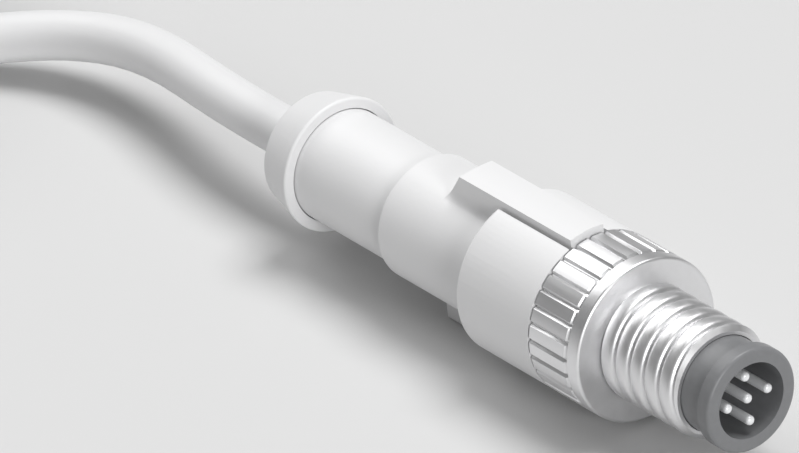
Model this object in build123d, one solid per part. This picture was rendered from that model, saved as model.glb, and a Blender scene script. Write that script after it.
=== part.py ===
from build123d import *

import os
from math import asin, cos, pi, radians, sin, sqrt, tan

# Five-pin M12 sensor connector, moulded on the end of a cable with free wires.
# The mating end points to +X. The lower grip rib rests on the floor, z = 0.
# A setback is a distance behind the mating face, along the connector's axis.

# Lengths along the connector
thread_setback = 4.6
thread_length = 11.5
head_rim_length = 1.8
knurl_length = 5.7
grip_gap = 0.2
body_length = 26.4
neck_length = 14.0
collar_length = 4.8

# Fits and running clearances
running_fit = 0.08
axial_play = 0.15
seat_fit = 0.05
pin_fit = 0.02
mould_fit = 0.02

# Contact carrier, with its open recess and coding key
rim_radius = 5.5
rim_length = 1.75
rim_rounding = 0.35
rim_chamfer = 0.2
carrier_radius = 5.0
recess_radius = 4.0
recess_depth = 9.0
key_width = 0.9
key_height = 0.75
key_setback = 1.2
key_angle = 135
boss_radius = 4.6
boss_length = 5.9
anchor_depth = 0.5
anchor_length = 1.2
anchor_inset = 3.0

# Contact pins, four on a circle and one at its centre
outer_pins = 4
pin_circle_radius = 2.5
pin_radius = 0.5
shank_radius = 0.7
pin_tip_setback = 0.3
pin_tip_rounding = 0.35
shoulder_radius = 0.87
shoulder_length = 0.6
cup_radius = 0.8
cup_bore_radius = 0.55
cup_length = 3.4
cup_depth = 2.8

# Coupling screw
thread_radius = 6.0
thread_chamfer = 0.55
head_radius = 8.64
head_rounding = 0.3
knurl_grooves = 30
knurl_depth = 0.32
knurl_groove_width = 0.5
rim_groove_width = 0.5
flange_room = 0.3
spigot_room = 0.15
spigot_axial_room = 0.2

# Grip sleeve, slotted over the ribs
sleeve_radius = 8.61
sleeve_length = 11.2
sleeve_rounding = 0.25
spigot_radius = 7.6
spigot_length = 2.2
slot_gap = 0.35

# Grip body with its two ribs
body_radius = 6.59
neck_radius = 5.94
body_rounding = 0.3
rib_width = 4.08
rib_reach = 9.3
rib_crown_radius = 9.3
upper_rib_length = 17.2
upper_rib_slope = 35.0
lower_rib_length = 22.1
rib_gap = 0.1
rib_foot_rounding = 1.4
cavity_length = 18.4
collar_seat_depth = 2.8

# Inner moulding round the soldered joints, with the flange that keeps the screw
flange_radius = 6.3
flange_inset = 0.7
flange_length = 1.6
premould_radius = 5.55
joint_bore_radius = 0.94
joint_bore_length = 5.4
chamber_radius = 3.7
chamber_length = 5.6

# Rear collar
collar_front_radius = 7.2
collar_rear_radius = 6.05
collar_fit = 0.1
collar_rounding = 0.25
cable_hole_gap = 0.12
cable_hole_chamfer = 0.3

# Cable and its cores
cable_diameter = 5.2
core_radius = 0.68
conductor_radius = 0.34
core_circle_radius = 1.42
core_colours = ["brown", "white", "blue", "black", "grey"]
insulation_gap = 0.2
core_bend_radius = 3.0
jacket_grip = 4.4

# Coil of the spare cable, folded into a hank with a narrow waist
hank_centre_x = -144.2
hank_centre_y = -14.5
loop_offset = 31.0
loop_columns = 2
inner_loop_radius = 15.6
hank_layers = 4
hank_chamfer = 1.6

# Strap round the waist
strap_width = 4.0
strap_thickness = 1.0
strap_gap = 0.3
strap_rounding = 1.6
strap_floor_gap = 0.1
buckle_size = 5.0
buckle_height = 3.0

# Free end, on top of the rear loop
tail_start_angle = 250.0
tail_end_angle = 50.0
tail_lift = 0.05
bared_length = 17.5
tip_length = 4.0
lead_pitch = 1.9
lead_drop_length = 7.0
lead_drop_stagger = 1.5
lead_end_spread = 1.2
lead_rest_gap = 0.05

# The cable's route over the floor, from the collar's rear face to the hank.
# Each point has its distance behind the collar, its y and its height above the floor.
route_beyond_exit = [(14.0, 0.0, 9.3), (31.0, 3.0, 7.2), (42.8, 0.6, 4.9),
                     (52.0, -7.0, 3.3), (57.4, -18.0, 2.6)]

# Values that follow from the sizes above
connector_length = (thread_setback + thread_length + head_rim_length + knurl_length
                    + body_length + neck_length + collar_length)
face_x = connector_length / 2
axis_height = rib_reach
head_setback = thread_setback + thread_length
knurl_setback = head_setback + head_rim_length
flange_setback = knurl_setback + flange_inset
head_end = knurl_setback + knurl_length
carrier_end = flange_setback + boss_length
anchor_setback = flange_setback + anchor_inset
anchor_end = anchor_setback + anchor_length
anchor_radius = boss_radius - anchor_depth
body_end = head_end + body_length
collar_setback = body_end + neck_length
body_front = head_end + grip_gap - spigot_length
neck_end = collar_setback + collar_seat_depth
flange_end = flange_setback + flange_length
screw_bore_radius = carrier_radius + running_fit
shoulder_setback = flange_setback - axial_play
spigot_bore_setback = body_front - spigot_axial_room
cup_setback = carrier_end + shoulder_length
cup_end = cup_setback + cup_length
chamber_setback = carrier_end + joint_bore_length
jacket_setback = chamber_setback + chamber_length
premould_end = jacket_setback + jacket_grip
cavity_radius = premould_radius + seat_fit
cavity_end = body_front + cavity_length
rib_setback = head_end + grip_gap + rib_gap
skirt_end = head_end + grip_gap + sleeve_length
cable_radius = cable_diameter / 2
cable_bore = cable_radius + mould_fit
exit_x = face_x - connector_length
outer_loop_radius = inner_loop_radius + (loop_columns - 1) * cable_diameter
hank_height = hank_layers * cable_diameter
hank_waist = 2 * loop_columns * cable_diameter
tail_radius = (inner_loop_radius + outer_loop_radius) / 2
tail_height = hank_height + cable_radius + tail_lift
lead_height = hank_height + core_radius + lead_rest_gap

seat = Pos(face_x, 0, axis_height)


def turned(profile):
    """A turned piece from its (setback, radius) profile, seated on the connector's axis."""
    outline = Polygon(*[(-setback, radius) for setback, radius in profile], align=None)
    return seat * revolve(outline, Axis.X)


def rod(start, end, radius, y=0.0, z=0.0):
    """A round bar along the axis between two setbacks, y and z away from the axis."""
    plane = Plane(origin=(-end, y, z), x_dir=(0, 1, 0), z_dir=(1, 0, 0))
    return seat * extrude(plane * Circle(radius), end - start)


def block(start, end, width, low, high):
    """A bar between two setbacks, low to high above the axis and centred across it."""
    size_x = end - start
    middle = Pos(-(start + end) / 2, 0, (low + high) / 2)
    return seat * middle * Box(size_x, width, high - low)


def turn_about_axis(shape, angle):
    """The shape turned about the connector's axis, from the top towards -Y."""
    return shape.rotate(Axis((0, 0, axis_height), (1, 0, 0)), angle)


def pin_places():
    """Where the pins stand across the axis: four round it, then the centre one."""
    step = 360 / outer_pins
    angles = [radians(90 + step * i) for i in range(outer_pins)]
    ring = [(pin_circle_radius * cos(a), pin_circle_radius * sin(a)) for a in angles]
    return ring + [(0.0, 0.0)]


def core_places():
    """Where the cores lie in the cable's jacket, in the order of the pins."""
    share = core_circle_radius / pin_circle_radius
    return [(y * share, z * share) for y, z in pin_places()]


def ring_edges(shape, setback, radius):
    """The shape's full circles of a radius about the axis at one setback."""
    x = face_x - setback
    found = shape.edges().filter_by(GeomType.CIRCLE)
    found = found.filter_by(lambda e: abs(e.center().X - x) < 1e-3)
    return found.filter_by(lambda e: abs(e.radius - radius) < 1e-3)


def contact_carrier():
    carrier = turned([
        (0, recess_radius), (0, rim_radius),
        (rim_length, rim_radius), (rim_length, carrier_radius),
        (flange_setback, carrier_radius), (flange_setback, boss_radius),
        (anchor_setback, boss_radius), (anchor_setback, anchor_radius),
        (anchor_end, anchor_radius), (anchor_end, boss_radius),
        (carrier_end, boss_radius), (carrier_end, 0),
        (recess_depth, 0), (recess_depth, recess_radius),
    ])
    carrier = fillet(ring_edges(carrier, 0, rim_radius), rim_rounding)
    carrier = chamfer(ring_edges(carrier, rim_length, rim_radius), rim_chamfer)
    for y, z in pin_places():
        carrier -= rod(recess_depth, carrier_end, shank_radius + pin_fit, y, z)
    key_low = recess_radius - key_height
    key = block(key_setback, recess_depth, key_width, key_low, (recess_radius + carrier_radius) / 2)
    return carrier + turn_about_axis(key, key_angle - 90)


def contact_pin(y, z):
    tip = rod(pin_tip_setback, recess_depth, pin_radius, y, z)
    tip = fillet(tip.edges().sort_by(Axis.X)[-1], pin_tip_rounding)
    shank = rod(recess_depth, carrier_end, shank_radius, y, z)
    shoulder = rod(carrier_end, cup_setback, shoulder_radius, y, z)
    cup = rod(cup_setback, cup_end, cup_radius, y, z)
    cup -= rod(cup_end - cup_depth, cup_end, cup_bore_radius, y, z)
    window = block(cup_end - cup_depth / 2, cup_end, 2 * cup_radius, 0.0, cup_radius)
    return tip + shank + shoulder + (cup - Pos(0, y, z) * window)


def coupling_screw():
    spigot_bore = spigot_radius + spigot_room
    half_groove = rim_groove_width / 2
    screw = turned([
        (thread_setback, screw_bore_radius), (thread_setback, thread_radius),
        (head_setback, thread_radius), (head_setback, head_radius),
        (knurl_setback - half_groove, head_radius), (knurl_setback, head_radius - knurl_depth),
        (knurl_setback + half_groove, head_radius),
        (head_end, head_radius), (head_end, spigot_bore),
        (spigot_bore_setback, spigot_bore), (spigot_bore_setback, flange_radius + flange_room),
        (shoulder_setback, flange_radius + flange_room), (shoulder_setback, screw_bore_radius),
    ])
    screw = chamfer(ring_edges(screw, thread_setback, thread_radius), thread_chamfer)
    screw = fillet(ring_edges(screw, head_setback, head_radius), head_rounding)
    plane = Plane(origin=(-head_end, 0, 0), x_dir=(0, 1, 0), z_dir=(1, 0, 0))
    reach = head_radius + knurl_depth
    groove = Polygon(
        (0, head_radius - knurl_depth), (knurl_groove_width, reach), (-knurl_groove_width, reach),
        align=None,
    )
    cutter = seat * extrude(plane * groove, knurl_length)
    step = 360 / knurl_grooves
    return screw - [turn_about_axis(cutter, step * i) for i in range(knurl_grooves)]


def grip_sleeve():
    bore = body_radius + seat_fit
    skirt = head_end + grip_gap
    sleeve = turned([
        (body_front, bore), (body_front, spigot_radius),
        (skirt, spigot_radius), (skirt, sleeve_radius),
        (skirt_end, sleeve_radius), (skirt_end, bore),
    ])
    sleeve = fillet(ring_edges(sleeve, skirt_end, sleeve_radius), sleeve_rounding)
    slot = block(skirt, skirt_end, rib_width + 2 * slot_gap, body_radius / 2, 2 * sleeve_radius)
    return sleeve - [slot, turn_about_axis(slot, 180)]


def sloped_bar(start, end, end_slope, width, foot):
    """A bar from its foot up to the ribs' reach, its rear end sloped from the upright."""
    run = (rib_reach - foot) * tan(radians(end_slope))
    outline = Polygon((-start, foot), (-start, rib_reach), (-end, rib_reach), (-end - run, foot),
                      align=None)
    return seat * extrude(Plane.XZ * outline, width / 2, both=True)


def grip_rib(length, end_slope):
    """A rib on the body's top, crowned, its foot rounded into the body behind the sleeve."""
    half = rib_width / 2
    side_height = sqrt(body_radius**2 - half**2)
    bar_foot = (cavity_radius + side_height) / 2
    crown_length = length + rib_reach * tan(radians(end_slope))
    crown = rod(rib_setback, rib_setback + crown_length, rib_crown_radius, 0.0,
                rib_reach - rib_crown_radius)
    bar = sloped_bar(rib_setback, rib_setback + length, end_slope, rib_width, bar_foot) & crown
    centre_y = half + rib_foot_rounding
    spread = asin(centre_y / (body_radius + rib_foot_rounding))
    centre_z = (body_radius + rib_foot_rounding) * cos(spread)
    foot = (cavity_radius + body_radius * cos(spread)) / 2
    foot_start = skirt_end + slot_gap
    foot_width = 2 * body_radius * sin(spread)
    flare = sloped_bar(foot_start, rib_setback + length, end_slope, foot_width, foot)
    flare &= block(foot_start, rib_setback + crown_length, foot_width, foot, centre_z)
    flare -= [
        rod(foot_start, rib_setback + crown_length, rib_foot_rounding, side * centre_y, centre_z)
        for side in (-1, 1)
    ]
    return bar + flare


def grip_body():
    body = turned([
        (body_front, cavity_radius), (body_front, body_radius),
        (body_end, body_radius), (body_end, neck_radius),
        (neck_end, neck_radius), (neck_end, cable_bore), (cavity_end, cable_bore),
        (cavity_end, cavity_radius),
    ])
    body = fillet(ring_edges(body, body_end, body_radius), body_rounding)
    upper = grip_rib(upper_rib_length, upper_rib_slope)
    lower = grip_rib(lower_rib_length, 0.0)
    return body + upper + turn_about_axis(lower, 180)


def inner_premould():
    bore = boss_radius + seat_fit
    anchor = anchor_radius + seat_fit
    premould = turned([
        (flange_setback, bore), (flange_setback, flange_radius),
        (flange_end, flange_radius), (flange_end, premould_radius),
        (premould_end, premould_radius), (premould_end, cable_bore),
        (jacket_setback, cable_bore), (jacket_setback, chamber_radius),
        (chamber_setback, chamber_radius), (chamber_setback, 0),
        (carrier_end, 0), (carrier_end, bore),
        (anchor_end - seat_fit, bore), (anchor_end - seat_fit, anchor),
        (anchor_setback + seat_fit, anchor), (anchor_setback + seat_fit, bore),
    ])
    return premould - [
        rod(carrier_end, chamber_setback, joint_bore_radius, y, z) for y, z in pin_places()
    ]


def rear_collar():
    bore = neck_radius + collar_fit
    hole = cable_radius + cable_hole_gap
    collar = turned([
        (collar_setback, bore), (collar_setback, collar_front_radius),
        (connector_length, collar_rear_radius), (connector_length, hole),
        (neck_end, hole), (neck_end, bore),
    ])
    collar = fillet(ring_edges(collar, collar_setback, collar_front_radius), collar_rounding)
    collar = fillet(ring_edges(collar, connector_length, collar_rear_radius), collar_rounding)
    return chamfer(ring_edges(collar, connector_length, hole), cable_hole_chamfer)


def bend_radii(points):
    """Each corner's radius: 0.45 of its shorter run over the tangent of half its turn."""
    spots = [Vector(*p) for p in points]
    radii = []
    for before, corner, after in zip(spots, spots[1:], spots[2:]):
        run_in = corner - before
        run_out = after - corner
        half_turn = radians(run_in.get_angle(run_out)) / 2
        radii.append(0.45 * min(run_in.length, run_out.length) / tan(half_turn))
    return radii


def tube_along(path, radius):
    """A round tube swept along a path of straight runs and tangent arcs."""
    return sweep(Plane(origin=path @ 0, z_dir=path % 0) * Circle(radius), path)


def tube_through(name, points, radius):
    """A tube whose route turns at the points, with its radii and volume printed."""
    radii = bend_radii(points)
    path = FilletPolyline(*points, radius=radii)
    tube = tube_along(path, radius)
    print(name, "radii", [round(r, 1) for r in radii], "length", round(path.length, 1),
          "volume share", round(tube.volume / (pi * radius**2 * path.length), 4))
    return tube


def hank():
    """The outer shape of all the turns: two round loops joined by a waist."""
    reach = outer_loop_radius + cable_radius
    half_waist = hank_waist / 2
    hollow = (loop_offset**2 / (reach - half_waist) - (reach + half_waist)) / 2
    hollow_y = half_waist + hollow
    span = sqrt(loop_offset**2 + hollow_y**2)
    joint_x = loop_offset * hollow / span
    joint_y = hollow_y * reach / span
    outline = Rectangle(2 * joint_x, 2 * joint_y)
    outline += [Pos(side * loop_offset, 0) * Circle(reach) for side in (-1, 1)]
    outline -= [Pos(0, side * hollow_y) * Circle(hollow) for side in (-1, 1)]
    bundle = extrude(Pos(hank_centre_x, hank_centre_y) * outline, hank_height)
    flat_ends = bundle.edges().group_by(Axis.Z)
    bundle = chamfer(flat_ends[0] + flat_ends[-1], hank_chamfer)
    groove_depth = strap_floor_gap + strap_thickness + strap_gap
    groove = Box(strap_width + 4 * strap_gap, 2 * hank_waist, 2 * groove_depth)
    return bundle - Pos(hank_centre_x, hank_centre_y, 0) * groove


def cable_tie():
    inner = hank_waist + 2 * strap_gap
    outer = inner + 2 * strap_thickness
    low = strap_floor_gap
    inner_low = low + strap_thickness
    inner_height = hank_height + strap_gap - inner_low
    outer_height = inner_height + 2 * strap_thickness
    plane = Plane(origin=(hank_centre_x - strap_width / 2, hank_centre_y, 0), x_dir=(0, 1, 0),
                  z_dir=(1, 0, 0))
    ring = Pos(0, low + outer_height / 2) * RectangleRounded(outer, outer_height, strap_rounding)
    ring -= Pos(0, inner_low + inner_height / 2) * RectangleRounded(
        inner, inner_height, strap_rounding - strap_thickness)
    strap = extrude(plane * ring, strap_width)
    top = low + outer_height
    buckle_x, buckle_y = hank_centre_x, hank_centre_y + inner / 4
    buckle = Pos(buckle_x, buckle_y, top + buckle_height / 2 - strap_thickness / 2) * Box(
        buckle_size, buckle_size, buckle_height)
    buckle = fillet(buckle.edges().group_by(Axis.Z)[-1], strap_thickness / 2)
    return strap + buckle


def cable_route():
    """The route's points, from the collar's rear face over the floor to the hank."""
    start = (exit_x, 0.0, axis_height)
    return [start] + [(exit_x - away, y, z) for away, y, z in route_beyond_exit]


def cable(bundle):
    held = rod(jacket_setback, connector_length, cable_radius)
    return (held + tube_through("cable", cable_route(), cable_radius)) - bundle


def rear_loop_point(angle, height):
    """A point of the tail's line, on top of the rear loop."""
    x = hank_centre_x - loop_offset + tail_radius * cos(radians(angle))
    y = hank_centre_y + tail_radius * sin(radians(angle))
    return (x, y, height)


def cable_tail():
    angles = [tail_start_angle, (tail_start_angle + tail_end_angle) / 2, tail_end_angle]
    path = ThreePointArc(*[rear_loop_point(a, tail_height) for a in angles])
    return tube_along(path, cable_radius)


def lead_route(number):
    """A bared core from the jacket's end, down onto the hank and on towards the strap."""
    across, up = core_places()[number]
    heading = radians(tail_end_angle - 90)
    ahead = Vector(cos(heading), sin(heading), 0)
    side = Vector(-sin(heading), cos(heading), 0)
    start = Vector(*rear_loop_point(tail_end_angle, tail_height)) + side * across + Vector(0, 0, up)
    order = sorted(core_places()).index((across, up))
    spread = (order - (len(core_colours) - 1) / 2) * lead_pitch
    middle = Vector(*rear_loop_point(tail_end_angle, lead_height))
    landing_at = lead_drop_length + up * lead_drop_stagger
    landing = middle + ahead * landing_at + side * spread
    end = middle + ahead * bared_length + side * spread * lead_end_spread
    near = start + ahead * landing_at / 3
    return [tuple(p) for p in (start, near, landing, end)]


def free_lead(number):
    """The insulated lead and its tinned tip, cut from one line."""
    route = lead_route(number)
    colour = core_colours[number]
    whole = tube_through("lead " + colour, route, core_radius)
    end = Vector(*route[-1])
    ahead = (end - Vector(*route[-2])).normalized()
    stripped = Plane(origin=end - ahead * tip_length, z_dir=ahead)
    lead = split(whole, stripped, keep=Keep.BOTTOM)
    tip = extrude(stripped * Circle(conductor_radius), tip_length)
    return lead, tip


def inner_core(number):
    """A core inside the connector, from its solder cup to the end of the jacket."""
    y_pin, z_pin = pin_places()[number]
    y_end, z_end = core_places()[number]
    start = cup_end + insulation_gap
    if y_pin == z_pin == 0:
        return rod(start, jacket_setback, core_radius)
    leave = chamber_setback + core_radius
    arrive = jacket_setback - core_radius
    points = [(-start, y_pin, z_pin), (-leave, y_pin, z_pin), (-arrive, y_end, z_end),
              (-jacket_setback, y_end, z_end)]
    path = FilletPolyline(*points, radius=[core_bend_radius] * 2)
    return seat * tube_along(path, core_radius)


def inner_conductor(number):
    """The bared end of a core, soldered into its cup."""
    y, z = pin_places()[number]
    return rod(cup_end - cup_depth, cup_end + insulation_gap, conductor_radius, y, z)


def build():
    bundle = hank()
    nodes = {
        "contact_carrier": contact_carrier(),
        "coupling_screw": coupling_screw(),
        "grip_sleeve": grip_sleeve(),
        "grip_body": grip_body(),
        "inner_premould": inner_premould(),
        "rear_collar": rear_collar(),
        "cable": cable(bundle),
        "cable_hank": bundle,
        "cable_tail": cable_tail(),
        "cable_tie": cable_tie(),
    }
    for number, (y, z) in enumerate(pin_places()):
        nodes[f"contact_pin_{number + 1}"] = contact_pin(y, z)
    for number, colour in enumerate(core_colours):
        nodes[f"core_{colour}"] = inner_core(number)
        nodes[f"conductor_{colour}"] = inner_conductor(number)
        lead, tip = free_lead(number)
        nodes[f"lead_{colour}"] = lead
        nodes[f"lead_tip_{colour}"] = tip
    return nodes


os.makedirs("parts", exist_ok=True)
for node, shape in build().items():
    export_step(shape, f"parts/{node}.step")
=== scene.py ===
from math import atan2, cos, degrees, pi, radians, sin

import bmesh
import bpy
from mathutils import Matrix, Vector


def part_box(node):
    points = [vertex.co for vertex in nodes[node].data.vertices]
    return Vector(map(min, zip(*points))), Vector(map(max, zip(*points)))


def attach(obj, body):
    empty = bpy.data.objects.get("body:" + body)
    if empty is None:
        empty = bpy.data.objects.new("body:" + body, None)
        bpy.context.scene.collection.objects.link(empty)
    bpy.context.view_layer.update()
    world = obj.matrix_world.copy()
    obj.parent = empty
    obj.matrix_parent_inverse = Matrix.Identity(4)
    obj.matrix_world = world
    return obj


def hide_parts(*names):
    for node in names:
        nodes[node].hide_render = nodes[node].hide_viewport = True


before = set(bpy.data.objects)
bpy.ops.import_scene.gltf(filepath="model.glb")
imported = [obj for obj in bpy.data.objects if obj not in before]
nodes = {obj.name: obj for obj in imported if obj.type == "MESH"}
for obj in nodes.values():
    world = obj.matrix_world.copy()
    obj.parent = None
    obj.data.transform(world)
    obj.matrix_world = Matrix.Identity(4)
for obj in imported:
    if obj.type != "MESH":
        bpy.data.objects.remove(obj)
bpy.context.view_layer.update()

mm = 0.001

# Viewpoint. The drawing looks at the mating end from its right side and from above, turned
# a little, and has no perspective, so the lens is long and stands far away.
view_from = Vector((0.70, -0.487, 0.522)).normalized()
view_up = Vector((-0.35701, 0.39443, 0.84674)).normalized()
view_centre = Vector((7.5, -19.8, 27.0)) * mm
view_width = 76.9 * mm
sensor_width = 36.0
lens = 800.0

camera_data = bpy.data.cameras.new("camera")
camera_data.sensor_width = sensor_width
camera_data.lens = lens
camera = bpy.data.objects.new("camera", camera_data)
view_right = view_up.cross(view_from).normalized()
view_up = view_from.cross(view_right)
turn = Matrix((view_right, view_up, view_from)).transposed().to_4x4()
view_distance = view_width * lens / sensor_width
camera.matrix_world = Matrix.Translation(view_centre + view_from * view_distance) @ turn
camera_data.clip_start = 0.1
camera_data.clip_end = 100.0
bpy.context.scene.collection.objects.link(camera)
bpy.context.scene.camera = camera


class Value:
    """One output socket of a material. A sum or product with it adds a Math node."""

    def __init__(self, paint, socket):
        self.paint = paint
        self.socket = socket

    def maths(self, operation, first, second):
        return self.paint.node("ShaderNodeMath", {"operation": operation}, {0: first, 1: second})

    def __add__(self, other):
        return self.maths("ADD", self, other)

    __radd__ = __add__

    def __mul__(self, other):
        return self.maths("MULTIPLY", self, other)

    __rmul__ = __mul__


class Paint:
    """A material, whose nodes are added one at a time by their type."""

    def __init__(self, name, colour, roughness, metallic=0.0):
        self.material = bpy.data.materials.new(name)
        self.material.use_nodes = True
        self.tree = self.material.node_tree
        self.surface = self.tree.nodes["Principled BSDF"]
        self.surface.inputs["Base Color"].default_value = (*colour, 1.0)
        self.surface.inputs["Roughness"].default_value = roughness
        self.surface.inputs["Metallic"].default_value = metallic
        self.material.diffuse_color = (*colour, 1.0)

    def node(self, kind, settings, inputs, output=0):
        """Adds a node, sets its settings first, and returns one of its outputs."""
        node = self.tree.nodes.new(kind)
        for name, value in settings.items():
            setattr(node, name, value)
        for name, value in inputs.items():
            self.connect(node.inputs[name], value)
        return Value(self, node.outputs[output])

    def connect(self, socket, value):
        """Links a Value to an input socket, or sets a plain value on it."""
        if isinstance(value, Value):
            self.tree.links.new(value.socket, socket)
        else:
            socket.default_value = value

    def place(self):
        """The place on the piece, in metres."""
        return self.node("ShaderNodeTexCoord", {}, {}, "Object")

    def noise(self, per_metre, detail=2.0, stretch=(1.0, 1.0, 1.0)):
        """Noise of about 0 to 1 on the piece's own place, so many spots to a metre."""
        scaled = self.node("ShaderNodeMapping", {}, {"Vector": self.place(), "Scale": stretch})
        return self.node("ShaderNodeTexNoise", {},
                         {"Vector": scaled, "Scale": per_metre, "Detail": detail})

    def set(self, name, value):
        """Sets or links one of the surface's own inputs."""
        self.connect(self.surface.inputs[name], value)

    def mix(self, share, first, second):
        """Two colours mixed by a share."""
        return self.node("ShaderNodeMix", {"data_type": "RGBA"},
                         {0: share, 6: (*first, 1.0), 7: (*second, 1.0)}, 2)

    def relief(self, height, depth):
        """Fine relief of a depth in metres."""
        self.set("Normal", self.node("ShaderNodeBump", {},
                                     {"Height": height, "Distance": depth, "Strength": 1.0}))


def give(piece, paint, body="root"):
    """Paints a piece and makes it ride on its body."""
    piece.data.materials.clear()
    piece.data.materials.append(paint.material)
    if piece.name not in nodes:
        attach(piece, body)


# Cable. Five cores in a smooth, matt, light grey jacket, one length from the soldered
# joints to the bared end. It leaves the collar straight, settles on the floor and
# carries on into the hank that its spare length is folded into.
cable_radius = 2.6 * mm
held_length = 25.0 * mm
axis_height = sum(corner.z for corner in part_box("grip_sleeve")) / 2
exit_point = Vector((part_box("rear_collar")[0].x, 0.0, axis_height))
route_beyond_exit = [(14.0, 0.0, 9.3), (31.0, 3.0, 7.2), (42.8, 0.6, 4.9),
                     (52.0, -7.0, 3.3), (57.4, -18.0, 2.6)]

route = [exit_point + Vector((held_length, 0.0, 0.0)), exit_point.copy()]
route += [Vector((exit_point.x - away * mm, y * mm, z * mm)) for away, y, z in route_beyond_exit]

# The hank's turns. Each follows two round loops that a waist joins. A turn is counted in
# equal steps of each arc, clockwise from the end near the connector.
hank_low, hank_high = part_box("cable_hank")
hank_centre = (hank_low + hank_high) / 2
reach = (hank_high.y - hank_low.y) / 2
loop_offset = (hank_high.x - hank_low.x) / 2 - reach
outer_loop = reach - cable_radius
inner_loop = outer_loop - 2 * cable_radius
outer_waist = 3 * cable_radius
inner_waist = cable_radius
pull_in = outer_loop - outer_waist
hollow_height = (loop_offset**2 / pull_in - pull_in) / 2
joint_angle = atan2(hollow_height, loop_offset)
half_loop_steps = 10
hollow_steps = 11
turn_steps = 4 * half_loop_steps + 2 * hollow_steps
loop_step_angle = (pi - joint_angle) / half_loop_steps
hollow_step_angle = (pi - 2 * joint_angle) / hollow_steps

# The turns lie in two columns and four layers, from outside in, then from inside out, and
# so on up. The cable shifts to its next place over a few steps, each time that much
# earlier in the turn, so that the shifts don't lie on each other.
columns = [0, 1, 1, 0, 0, 1, 1, 0]
first_shift_end = turn_steps - 0.6
shift_steps = 7.5
place_steps = turn_steps - shift_steps

# The strap lifts the layers a little where it passes under them, the lowest one most.
strap_arch = [1.4 * mm, 1.0 * mm, 0.6 * mm, 0.25 * mm]
strap_reach = 13.0 * mm
strap_half = 3.2 * mm

# The cable joins the hank at the step hank_start. Its free end climbs onto the hank in the
# last turn and stops on top of the rear loop, straight over its last bit.
hank_start = 1.5
tail_radius = (inner_loop + outer_loop) / 2
tail_gap = 0.052 * mm
tail_height = hank_high.z + cable_radius + tail_gap
last_turn = len(columns) - 1
tail_lift_start = last_turn * turn_steps + 16.2
tail_lift_steps = 6.6
tail_end_angle = radians(50.0)
straight_end = 1.5 * mm


def outline_point(step, loop, waist):
    """A point of one turn, so many steps clockwise from the end near the connector."""
    hollow = hollow_height - waist
    step = step % turn_steps
    if step < half_loop_steps:
        return arc_point(1, 0, loop, -step * loop_step_angle, loop_step_angle)
    step -= half_loop_steps
    if step < hollow_steps:
        angle = joint_angle + step * hollow_step_angle
        return arc_point(0, -1, hollow, angle, hollow_step_angle)
    step -= hollow_steps
    if step < 2 * half_loop_steps:
        angle = -joint_angle - step * loop_step_angle
        return arc_point(-1, 0, loop, angle, loop_step_angle)
    step -= 2 * half_loop_steps
    if step < hollow_steps:
        angle = joint_angle - pi + step * hollow_step_angle
        return arc_point(0, 1, hollow, angle, hollow_step_angle)
    step -= hollow_steps
    return arc_point(1, 0, loop, pi - joint_angle - step * loop_step_angle, loop_step_angle)


def arc_point(side_x, side_y, radius, angle, step_angle):
    """A control point of an arc, just outside it, so that the spline lies on the arc."""
    out = radius / cos(step_angle / 2)
    x = hank_centre.x + side_x * loop_offset + out * cos(angle)
    y = hank_centre.y + side_y * hollow_height + out * sin(angle)
    return x, y


def eased(share):
    """A share of 0 to 1 with a soft start and end, held at 0 or 1 outside."""
    share = max(0.0, min(1.0, share))
    return 2 * share * share if share < 0.5 else 1 - 2 * (1 - share) ** 2


def hank_point(step):
    """The cable's place after so many steps of the hank."""
    past_first = step - first_shift_end
    place = 0 if past_first < 0 else 1 + int(past_first // place_steps)
    place = min(place, last_turn)
    end = first_shift_end + place * place_steps
    shift = eased(1 - (end - step) / shift_steps) if place < last_turn else 0.0
    later = min(place + 1, last_turn)
    column = columns[place] * (1 - shift) + columns[later] * shift
    layer = (place // 2) * (1 - shift) + (later // 2) * shift
    loop = outer_loop + (inner_loop - outer_loop) * column
    waist = outer_waist + (inner_waist - outer_waist) * column
    x, y = outline_point(step, loop, waist)
    z = (2 * layer + 1) * cable_radius
    near_strap = eased(1 - (abs(x - hank_centre.x) - strap_half) / (strap_reach - strap_half))
    z += near_strap * strap_arch[place // 2]
    lift = eased((step - tail_lift_start) / tail_lift_steps)
    if lift > 0:
        tail_x, tail_y = outline_point(step, tail_radius, outer_waist)
        x += (tail_x - x) * lift
        y += (tail_y - y) * lift
        z += (tail_height - z) * lift
    return Vector((x, y, z))


tail_end_step = last_turn * turn_steps + half_loop_steps + hollow_steps
tail_end_step += (2 * pi - joint_angle - tail_end_angle) / loop_step_angle
whole_steps = int(tail_end_step - hank_start)
route += [hank_point(hank_start + i) for i in range(whole_steps)]
rear_loop = Vector((hank_centre.x - loop_offset, hank_centre.y, tail_height))
heading = Vector((sin(tail_end_angle), -cos(tail_end_angle), 0.0))
tail_end = rear_loop + tail_radius * Vector((cos(tail_end_angle), sin(tail_end_angle), 0.0))
route += [tail_end - heading * straight_end, tail_end]

cable_curve = bpy.data.curves.new("sensor_cable", "CURVE")
cable_curve.dimensions = "3D"
cable_curve.bevel_depth = cable_radius
cable_curve.bevel_resolution = 5
cable_curve.use_fill_caps = True
line = cable_curve.splines.new("NURBS")
line.points.add(len(route) - 1)
for point, place in zip(line.points, route):
    point.co = (*place, 1.0)
line.order_u = 3
line.use_endpoint_u = True
line.resolution_u = 5
cable = bpy.data.objects.new("sensor_cable", cable_curve)
bpy.context.scene.collection.objects.link(cable)

jacket = Paint("cable_jacket", (0.74, 0.74, 0.745), 0.5)
grain = jacket.noise(900.0, 3.0)
jacket.set("Roughness", 0.42 + 0.16 * grain)
jacket.relief(grain, 0.00001)
give(cable, jacket)
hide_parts("cable", "cable_hank", "cable_tail")

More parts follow.
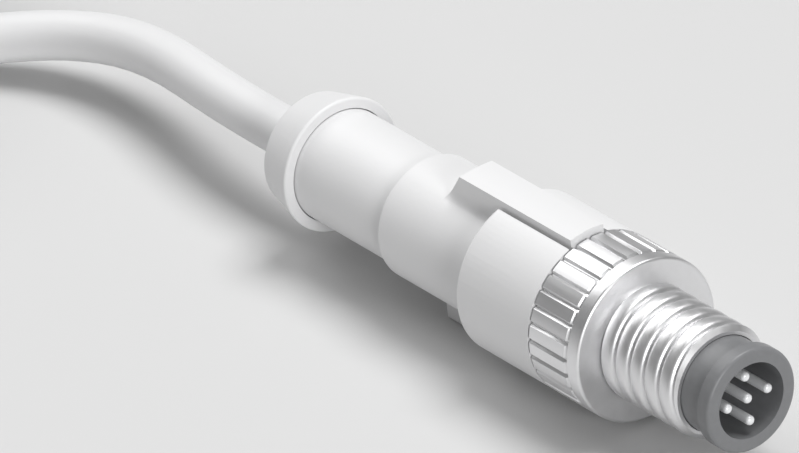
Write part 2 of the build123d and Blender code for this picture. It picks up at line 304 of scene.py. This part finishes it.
# Cores. Five stranded copper wires in coloured insulation. Inside the connector they run
# from the contacts' solder cups into the jacket, and at the far end they lie free.
core_colours = {
    "brown": (0.16, 0.06, 0.025),
    "white": (0.78, 0.78, 0.76),
    "blue": (0.02, 0.09, 0.36),
    "black": (0.012, 0.012, 0.013),
    "grey": (0.28, 0.28, 0.29),
}
tinned = Paint("tinned_copper", (0.72, 0.73, 0.74), 0.32, 1.0)
tinned.set("Roughness", 0.26 + 0.16 * tinned.noise(6000.0))
for colour, value in core_colours.items():
    insulation = Paint("core_" + colour, value, 0.38)
    insulation.set("Roughness", 0.32 + 0.14 * insulation.noise(1500.0))
    give(nodes["core_" + colour], insulation)
    give(nodes["lead_" + colour], insulation)
    give(nodes["conductor_" + colour], tinned)

# Bared ends of the cores. Each has seven strands of tinned copper, six of them twisted
# round a straight one, and is cut off square.
strand_radius = 0.115 * mm
strand_lay = 11.0 * mm
strand_corners = 10
twist_steps = 12
same_place = 0.0005 * mm
flat_within = radians(0.5)
sharp_from = radians(35.0)


def joined(node):
    """A bmesh copy of a CAD node, its loose triangles merged."""
    copy = bmesh.new()
    copy.from_mesh(nodes[node].data)
    bmesh.ops.remove_doubles(copy, verts=copy.verts, dist=same_place)
    bmesh.ops.dissolve_limit(copy, angle_limit=flat_within, verts=copy.verts, edges=copy.edges)
    return copy


def made(name, shape):
    """An object of a finished bmesh, smooth except at its sharp edges."""
    mesh = bpy.data.meshes.new(name)
    shape.to_mesh(mesh)
    shape.free()
    piece = bpy.data.objects.new(name, mesh)
    bpy.context.scene.collection.objects.link(piece)
    mesh.shade_smooth()
    mesh.set_sharp_from_angle(angle=sharp_from)
    return piece


def middle(verts):
    """The middle of some points."""
    return sum((v.co for v in verts), Vector()) / len(verts)


on_cable = [nodes["lead_" + colour] for colour in core_colours]
for colour in core_colours:
    tip = joined("lead_tip_" + colour)
    by_place = sorted(tip.verts, key=lambda v: v.co.dot(heading))
    tip_start = middle(by_place[:len(by_place) // 2])
    tip_stop = middle(by_place[len(by_place) // 2:])
    tip.free()
    ahead = tip_stop - tip_start
    facing = Matrix.Translation(tip_start) @ ahead.to_track_quat("Z", "Y").to_matrix().to_4x4()
    strands = bmesh.new()
    for i in range(7):
        aside = Matrix.Translation((0.0, 0.0, 0.0) if i == 6 else (2 * strand_radius, 0.0, 0.0))
        place = facing @ Matrix.Rotation(i * pi / 3, 4, "Z") @ aside
        bmesh.ops.create_circle(strands, segments=strand_corners, radius=strand_radius, matrix=place)
    bmesh.ops.spin(strands, geom=strands.verts[:] + strands.edges[:], cent=tip_start, axis=ahead,
                   dvec=ahead / twist_steps, angle=2 * pi * ahead.length / strand_lay,
                   steps=twist_steps, use_merge=False)
    bmesh.ops.holes_fill(strands, edges=[e for e in strands.edges if e.is_boundary], sides=0)
    bmesh.ops.recalc_face_normals(strands, faces=strands.faces)
    bared_end = made("strands_" + colour, strands)
    give(bared_end, tinned)
    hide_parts("lead_tip_" + colour)
    on_cable.append(bared_end)

# Strap. A black nylon band drawn tight round the hank's waist and trimmed off just past
# its head, which has a window where the catch sits.
window_border = 1.1 * mm
window_depth = 0.9 * mm
window_draft = 0.1 * mm
head_width = 5.0 * mm
trimmed_end_size = Vector((3.6, 1.8, 0.9)) * mm
end_below_top = 1.5 * mm
strap_rounding = 0.2 * mm
level = 0.99
strap_shape = joined("cable_tie")
head_top = max((f for f in strap_shape.faces if f.normal.z > level),
               key=lambda f: f.calc_center_median().z)
end_place = head_top.calc_center_median() - Vector((0.0, head_width / 2, end_below_top))
bmesh.ops.inset_region(strap_shape, faces=[head_top], thickness=window_border, use_even_offset=True)
bmesh.ops.inset_region(strap_shape, faces=[head_top], thickness=window_draft,
                       depth=-window_depth, use_even_offset=True)
bmesh.ops.create_cube(strap_shape, size=1.0,
                      matrix=Matrix.LocRotScale(end_place, None, trimmed_end_size))
strap = made("strap", strap_shape)


def rounded(piece, width):
    """Rounds a piece's sharp edges, all by the same small width."""
    rounding = piece.modifiers.new("edges", "BEVEL")
    rounding.width = width
    rounding.segments = 2
    rounding.limit_method = "ANGLE"
    rounding.angle_limit = sharp_from
    shading = piece.modifiers.new("shading", "WEIGHTED_NORMAL")
    shading.keep_sharp = True


rounded(strap, strap_rounding)
strap_paint = Paint("strap_plastic", (0.03, 0.03, 0.033), 0.4)
strap_paint.set("Roughness", 0.32 + 0.16 * strap_paint.noise(1200.0))
give(strap, strap_paint)
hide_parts("cable_tie")
on_cable.append(strap)

# Contact carrier. Dark grey glass-filled plastic, moulded with a deep open recess, a
# rounded rim and a coding key. The contacts are pressed into its floor.
carrier_paint = Paint("carrier_plastic", (0.19, 0.193, 0.2), 0.4)
mottle = carrier_paint.noise(1500.0, 3.0)
carrier_paint.set("Roughness", 0.32 + 0.16 * mottle)
carrier_paint.relief(mottle, 0.000012)
carrier_paint.set("Base Color", carrier_paint.mix(mottle, (0.175, 0.178, 0.184), (0.21, 0.213, 0.22)))
give(nodes["contact_carrier"], carrier_paint)

# Contacts. Five pins turned from brass rod and plated, with rounded tips. Turning left
# faint rings round them.
contact_paint = Paint("contact_metal", (0.88, 0.89, 0.9), 0.35, 0.2)
contact_paint.set("Roughness", 0.28 + 0.14 * contact_paint.noise(3000.0, 2.0, (4.0, 1.0, 1.0)))
for number in range(1, 6):
    give(nodes[f"contact_pin_{number}"], contact_paint)

# Coupling screw. Turned from brass bar and nickel plated, with an outside thread and a
# head to grip, whose knurl is thirty straight grooves behind a smooth rim. It turns freely
# between the inner moulding's flange and the sleeve.
head_rear, thread_front = (v.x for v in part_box("coupling_screw"))

# One groove and the land beside it: degrees from the groove's middle, and radius in mm.
knurl_groove = 12.0
knurl_profile = [(-1.9, 8.64), (-1.6, 8.6), (-0.25, 8.33), (0.25, 8.33), (1.6, 8.6), (1.9, 8.64),
                 (3.95, 8.64), (6.0, 8.64), (8.05, 8.64), (10.1, 8.64)]
top = 90.0
head_edge = 0.1 * mm

# The head's outside and inside: place along it from its rear face, and radius, in mm. The
# knurl keeps its own radii as far as the ring groove behind the smooth rim.
outside = [(5.45, None), (5.7, 8.32), (5.95, 8.64), (7.2, 8.64), (7.29, 8.626), (7.37, 8.585),
           (7.43, 8.52), (7.477, 8.44), (7.5, 8.34)]
inside = [(0.0, 7.75), (2.2, 7.75), (2.2, 6.6), (5.15, 6.6), (5.15, 5.08)]
head_front = head_rear + outside[-1][0] * mm
thread_radius = 6.0 * mm
thread_chamfer = 0.55 * mm
screw_bore = inside[-1][1] * mm

# One groove of the thread: place along the axis from the groove's middle, and radius, in mm.
thread_pitch = 2.22 * mm
thread_profile = [(-1.11, 6.0), (-0.7, 5.98), (-0.44, 5.91), (-0.28, 5.76), (-0.1, 5.35),
                  (0.1, 5.35), (0.28, 5.76), (0.44, 5.91), (0.7, 5.98), (1.11, 6.0)]
near_side = degrees(atan2(view_from.z, view_from.y))
groove_on_near_side = head_front + 1.9 * mm
thread_steps = 120
turns_behind = 2
turns = 8
past_bore = screw_bore + 0.1 * mm
merge_distance = 0.002 * mm
cut_distance = 0.001 * mm
ring_distance = 0.005 * mm
square_to_axis = 0.999


def on_ring(x, radius, angle):
    """A point round the connector's axis. The angle is in degrees, from +Y to the top."""
    angle = radians(angle)
    return Vector((x, radius * cos(angle), axis_height + radius * sin(angle)))


def from_axis(vert):
    """How far a point lies from the connector's axis."""
    return Vector((vert.co.y, vert.co.z - axis_height)).length


def move_to_radius(vert, radius):
    """Moves a point straight towards or away from the connector's axis."""
    share = radius / from_axis(vert)
    vert.co.y *= share
    vert.co.z = axis_height + (vert.co.z - axis_height) * share


def wire(shape, points):
    """Adds points in a row, joined by edges."""
    verts = [shape.verts.new(point) for point in points]
    edges = [shape.edges.new(pair) for pair in zip(verts[:-1], verts[1:])]
    return verts + edges


def draw_out(shape, ring):
    """Extrudes a ring of edges and returns the new edges and points."""
    new = bmesh.ops.extrude_edge_only(shape, edges=ring)["geom"]
    edges = [e for e in new if isinstance(e, bmesh.types.BMEdge)]
    return edges, [v for v in new if isinstance(v, bmesh.types.BMVert)]


def open_ring(shape, x, low, high):
    """The open edges at one place along the axis, between two radii."""
    return [e for e in shape.edges if e.is_boundary
            and all(abs(v.co.x - x) < ring_distance and low < from_axis(v) < high for v in e.verts)]


screw_shape = bmesh.new()
start = head_rear + head_edge
wire(screw_shape, [on_ring(start, radius * mm, top + angle) for angle, radius in knurl_profile])
bmesh.ops.spin(screw_shape, geom=screw_shape.verts[:] + screw_shape.edges[:],
               cent=(0, 0, axis_height), axis=(1, 0, 0), angle=2 * pi,
               steps=round(360 / knurl_groove), use_duplicate=True)
bmesh.ops.remove_doubles(screw_shape, verts=screw_shape.verts, dist=merge_distance)
knurl_ring = screw_shape.edges[:]
ring = knurl_ring
for along, radius in outside:
    ring, verts = draw_out(screw_shape, ring)
    for vert in verts:
        vert.co.x = head_rear + along * mm
        if radius:
            move_to_radius(vert, radius * mm)
ring, verts = draw_out(screw_shape, knurl_ring)
for vert in verts:
    vert.co.x = head_rear
    move_to_radius(vert, from_axis(vert) - head_edge)
for along, radius in inside:
    ring, verts = draw_out(screw_shape, ring)
    for vert in verts:
        vert.co.x = head_rear + along * mm
        move_to_radius(vert, radius * mm)

thread = bmesh.new()
first_groove = groove_on_near_side - turns_behind * thread_pitch
wire(thread, [on_ring(first_groove + along * mm, radius * mm, near_side)
              for along, radius in thread_profile])
bmesh.ops.spin(thread, geom=thread.verts[:] + thread.edges[:], cent=(0, 0, axis_height),
               axis=(1, 0, 0), dvec=(thread_pitch / thread_steps, 0, 0),
               angle=2 * pi * turns, steps=turns * thread_steps, use_merge=False)
bmesh.ops.remove_doubles(thread, verts=thread.verts, dist=merge_distance)
for x, towards_front in ((thread_front, 1), (head_front, -1)):
    bmesh.ops.bisect_plane(thread, geom=thread.verts[:] + thread.edges[:] + thread.faces[:],
                           plane_co=(x, 0, 0), plane_no=(towards_front, 0, 0), clear_outer=True)


def outside_chamfer(vert):
    """How far a point of the thread stands out of the chamfer at its front."""
    behind = max(0.0, vert.co.x - (thread_front - thread_chamfer))
    return from_axis(vert) - (thread_radius - behind)


crossed = []
for edge in thread.edges[:]:
    first, second = (outside_chamfer(v) for v in edge.verts)
    if min(first, second) < -cut_distance and max(first, second) > cut_distance:
        share = first / (first - second)
        crossed.append(bmesh.utils.edge_split(edge, edge.verts[0], share)[1])
bmesh.ops.connect_verts(thread, verts=crossed)
for vert in thread.verts:
    if outside_chamfer(vert) > 0:
        move_to_radius(vert, from_axis(vert) - outside_chamfer(vert))
ring, verts = draw_out(thread, open_ring(thread, thread_front, 0, 2 * thread_radius))
for vert in verts:
    move_to_radius(vert, screw_bore)
ring, verts = draw_out(thread, ring)
for vert in verts:
    vert.co.x = head_front
thread_mesh = bpy.data.meshes.new("thread")
thread.to_mesh(thread_mesh)
thread.free()
screw_shape.from_mesh(thread_mesh)
bpy.data.meshes.remove(thread_mesh)
bores = open_ring(screw_shape, head_rear + inside[-1][0] * mm, 0, past_bore)
bores += open_ring(screw_shape, head_front, 0, past_bore)
bmesh.ops.bridge_loops(screw_shape, edges=bores)
around_thread = open_ring(screw_shape, head_front, past_bore, 2 * thread_radius)
bmesh.ops.triangle_fill(screw_shape, edges=around_thread, use_beauty=True, normal=(1, 0, 0))
bmesh.ops.recalc_face_normals(screw_shape, faces=screw_shape.faces)
screw = made("threaded_screw", screw_shape)
for face in screw.data.polygons:
    face.use_smooth = abs(face.normal.x) < square_to_axis

nickel = Paint("nickel_plate", (0.80, 0.80, 0.81), 0.4, 1.0)
wear = nickel.noise(1200.0, 3.0, (0.2, 1.0, 1.0))
nickel.set("Roughness", 0.34 + 0.14 * wear)
nickel.set("Base Color", nickel.mix(wear, (0.77, 0.77, 0.775), (0.83, 0.83, 0.84)))
give(screw, nickel, "coupling")
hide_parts("coupling_screw")

# Grip: the sleeve behind the screw's head, the long body with its ribs and the collar
# at the cable's end, all moulded in near-white plastic with a fine satin grain.
grip_paint = Paint("grip_plastic", (0.75, 0.75, 0.755), 0.45)
satin = grip_paint.noise(1400.0, 3.0)
grip_paint.set("Roughness", 0.38 + 0.16 * satin)
grip_paint.relief(satin, 0.000012)
edge_rounding = 0.08 * mm
for node, name in (("grip_sleeve", "sleeve"), ("grip_body", "ribbed_body"), ("rear_collar", "collar")):
    piece = made(name, joined(node))
    rounded(piece, edge_rounding)
    give(piece, grip_paint)
    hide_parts(node)

# Inner moulding. Plain grey plastic, moulded first round the soldered joints, with the
# flange that keeps the screw. The grip hides it.
premould_paint = Paint("premould_plastic", (0.3, 0.31, 0.33), 0.5)
premould_paint.set("Roughness", 0.42 + 0.16 * premould_paint.noise(1400.0))
give(nodes["inner_premould"], premould_paint)

# Studio. A plain pale floor and three broad soft lights, from above, from behind and from
# in front, under an even pale sky. They are far away, so the floor is lit evenly.
key_strength = 2.3
key_angle = 32.0
back_strength = 0.9
back_angle = 40.0
front_strength = 1.5
front_angle = 20.0
sky_strength = 0.22
floor_reach = 30.0
floor_shape = bmesh.new()
bmesh.ops.create_grid(floor_shape, x_segments=1, y_segments=1, size=floor_reach)
floor = made("floor", floor_shape)
floor_paint = Paint("floor", (0.6, 0.6, 0.6), 0.9)
floor.data.materials.append(floor_paint.material)

world = bpy.data.worlds.new("sky")
bpy.context.scene.world = world
world.use_nodes = True
sky = world.node_tree.nodes["Background"].inputs
sky["Color"].default_value = (1.0, 1.0, 1.0, 1.0)
sky["Strength"].default_value = sky_strength
bpy.context.scene.view_settings.view_transform = "Standard"


def far_light(name, direction, strength, angle):
    """A soft light from far away, seen over an angle in degrees."""
    data = bpy.data.lights.new(name, "SUN")
    data.energy = strength
    data.angle = radians(angle)
    light = bpy.data.objects.new(name, data)
    light.rotation_mode = "QUATERNION"
    light.rotation_quaternion = Vector(direction).to_track_quat("Z", "Y")
    bpy.context.scene.collection.objects.link(light)


far_light("key", view_up + view_from * 0.45 + view_right * 0.2, key_strength, key_angle)
far_light("back", (-0.7, 0.05, 0.72), back_strength, back_angle)
far_light("front", (1.0, -0.22, 0.3), front_strength, front_angle)
